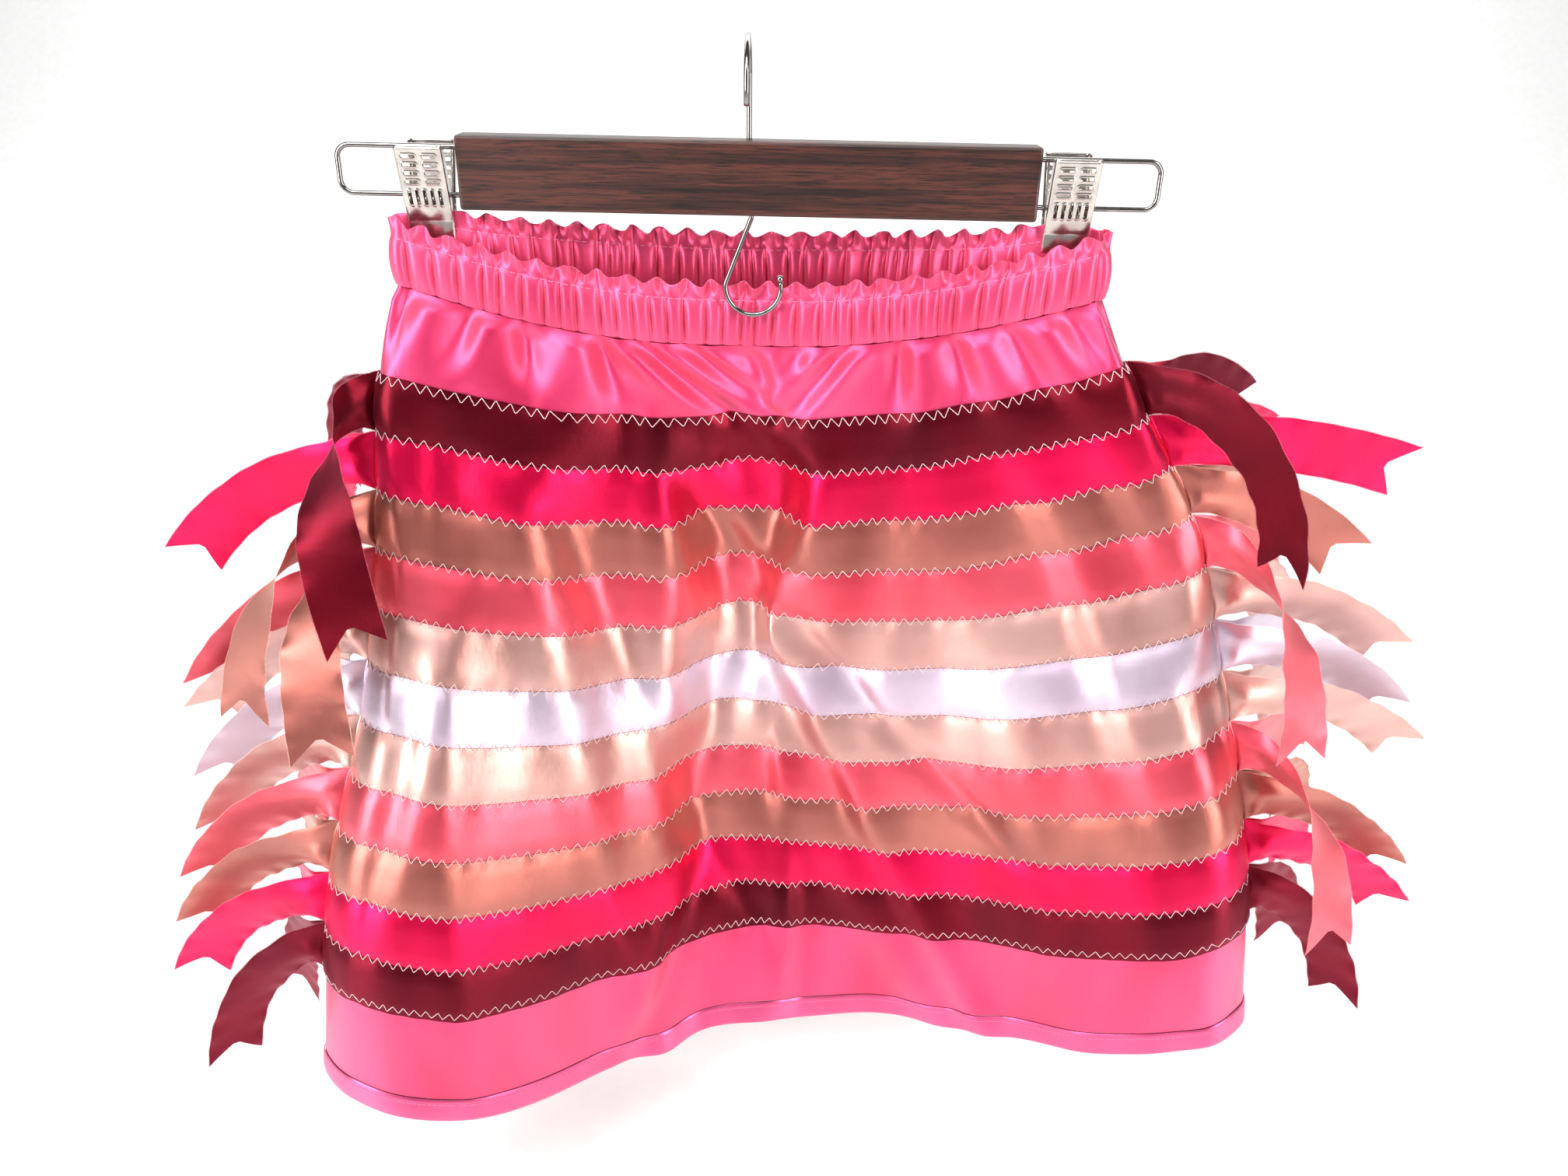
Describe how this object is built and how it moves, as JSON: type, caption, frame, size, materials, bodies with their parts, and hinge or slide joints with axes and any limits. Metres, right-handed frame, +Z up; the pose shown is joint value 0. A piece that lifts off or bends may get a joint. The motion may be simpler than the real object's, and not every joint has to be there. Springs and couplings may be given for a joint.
{
  "type": "ribbon skirt on a wood-and-wire clip hanger",
  "caption": "Child's pink satin ribbon skirt with rows of satin ribbon, free ribbon tails at both side seams and a gathered elastic waist, held by a wood-and-wire clip hanger.",
  "frame": {"origin": "inside top of the hook's crook, where a rail holds the hanger up", "axes": "+X along the hanger's bar to the right as seen from the front, -Y out of the skirt's front, +Z up"},
  "size_m": [0.6169, 0.1716, 0.4899],
  "materials": {
    "pink_satin": "satin",
    "waistband_satin": "gathered satin",
    "hem_satin": "satin",
    "walnut": "dark satin varnish",
    "chrome_wire": "polished",
    "clip_steel": "polished",
    "ribbon_burgundy": "satin ribbon",
    "ribbon_hot_pink": "satin ribbon",
    "ribbon_rose_gold": "satin ribbon",
    "ribbon_coral": "satin ribbon",
    "ribbon_champagne": "satin ribbon",
    "ribbon_white": "satin ribbon"
  },
  "bodies": {
    "root": {"front_panel": "pink_satin", "waistband_front": "waistband_satin", "hem_band_front": "hem_satin", "ribbon_front_01": "ribbon_burgundy", "ribbon_front_02": "ribbon_hot_pink", "ribbon_front_03": "ribbon_rose_gold", "ribbon_front_04": "ribbon_coral", "ribbon_front_05": "ribbon_champagne", "ribbon_front_06": "ribbon_white", "ribbon_front_07": "ribbon_champagne", "ribbon_front_08": "ribbon_coral", "ribbon_front_09": "ribbon_rose_gold", "ribbon_front_10": "ribbon_hot_pink", "ribbon_front_11": "ribbon_burgundy", "back_panel": "pink_satin", "waistband_back": "waistband_satin", "hem_band_back": "hem_satin", "ribbon_back_01": "ribbon_burgundy", "ribbon_back_02": "ribbon_hot_pink", "ribbon_back_03": "ribbon_rose_gold", "ribbon_back_04": "ribbon_coral", "ribbon_back_05": "ribbon_champagne", "ribbon_back_06": "ribbon_white", "ribbon_back_07": "ribbon_champagne", "ribbon_back_08": "ribbon_coral", "ribbon_back_09": "ribbon_rose_gold", "ribbon_back_10": "ribbon_hot_pink", "ribbon_back_11": "ribbon_burgundy", "wood_bar": "walnut", "wire_loop_left": "chrome_wire", "wire_loop_right": "chrome_wire", "top_hook": "chrome_wire", "lower_hook": "chrome_wire", "clip_left_front": "clip_steel", "clip_left_back": "clip_steel", "clip_right_front": "clip_steel", "clip_right_back": "clip_steel", "clip_spring_left": "clip_steel", "clip_spring_right": "clip_steel"}
  },
  "joints": []
}
